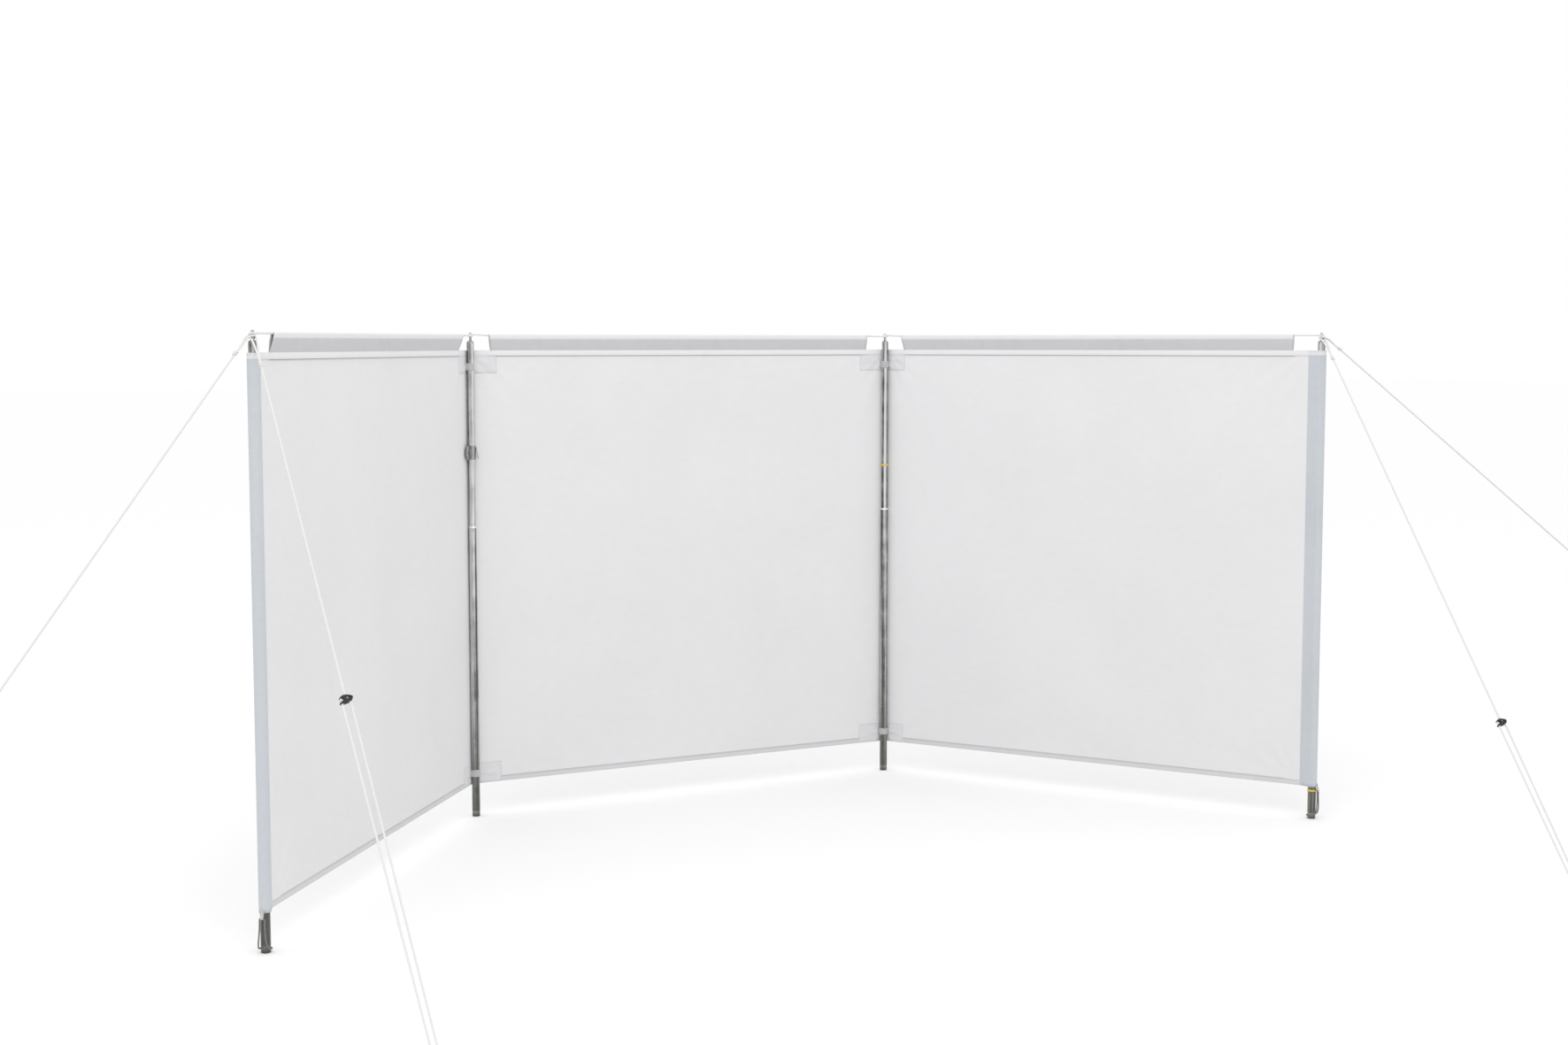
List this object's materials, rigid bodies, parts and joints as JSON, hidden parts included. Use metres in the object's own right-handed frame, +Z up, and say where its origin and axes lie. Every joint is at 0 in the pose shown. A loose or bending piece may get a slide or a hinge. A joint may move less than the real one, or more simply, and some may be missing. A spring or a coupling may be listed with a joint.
{
  "type": "beach windbreak",
  "caption": "Beach windbreak: a white cloth screen folded into bays between steel poles, with a top rope and pegged guy ropes.",
  "frame": {"origin": "centre of the left inner pole's foot, where its ground spike enters the ground", "axes": "+Z up along the pole; +X along the middle bay, from the left inner pole to the right one; +Y away from the sheltered side"},
  "size_m": [6.037, 2.7687, 1.504],
  "materials": {
    "screen_cloth": "white woven cloth, slightly see-through",
    "rope_sleeve_cloth": "doubled white cloth",
    "pole_sleeve_cloth": "doubled white cloth",
    "patch_cloth": "white cloth, sewn on",
    "loop_tape": "woven tape",
    "white_rope": "braided white rope",
    "runner_plastic": "moulded black plastic",
    "peg_steel": "zinc plated rod",
    "elastic_cord": "white braid with dark flecks",
    "tab_tape": "woven tape",
    "spike_steel": "zinc plated rod",
    "pole_steel": "bright plated steel tube",
    "tip_steel": "bright zinc plated",
    "clip_steel": "zinc plated spring steel pressing",
    "marker_plastic": "yellow plastic ring"
  },
  "bodies": {
    "root": {"left_bay_cloth": "screen_cloth", "left_corner_cord": "elastic_cord", "left_corner_tab": "tab_tape", "left_end_ground_spike": "spike_steel", "left_end_lower_tube": "pole_steel", "left_end_pole_tip": "tip_steel", "left_end_upper_tube": "pole_steel", "left_fold_patches": "patch_cloth", "left_front_guy": "white_rope", "left_front_peg": "peg_steel", "left_front_runner": "runner_plastic", "left_inner_ground_spike": "spike_steel", "left_inner_lower_tube": "pole_steel", "left_inner_pole_tip": "tip_steel", "left_inner_upper_tube": "pole_steel", "left_outer_guy": "white_rope", "left_outer_peg": "peg_steel", "left_outer_runner": "runner_plastic", "left_pole_loops": "loop_tape", "left_pole_sleeve": "pole_sleeve_cloth", "left_rope_sleeve": "rope_sleeve_cloth", "middle_bay_cloth": "screen_cloth", "middle_rope_sleeve": "rope_sleeve_cloth", "pole_clip": "clip_steel", "right_bay_cloth": "screen_cloth", "right_corner_cord": "elastic_cord", "right_corner_tab": "tab_tape", "right_end_ground_spike": "spike_steel", "right_end_lower_tube": "pole_steel", "right_end_marker_ring": "marker_plastic", "right_end_pole_tip": "tip_steel", "right_end_upper_tube": "pole_steel", "right_fold_patches": "patch_cloth", "right_front_guy": "white_rope", "right_front_peg": "peg_steel", "right_front_runner": "runner_plastic", "right_inner_ground_spike": "spike_steel", "right_inner_lower_tube": "pole_steel", "right_inner_marker_ring": "marker_plastic", "right_inner_pole_tip": "tip_steel", "right_inner_upper_tube": "pole_steel", "right_outer_guy": "white_rope", "right_outer_peg": "peg_steel", "right_outer_runner": "runner_plastic", "right_pole_loops": "loop_tape", "right_pole_sleeve": "pole_sleeve_cloth", "right_rope_sleeve": "rope_sleeve_cloth", "top_rope": "white_rope"}
  },
  "joints": []
}
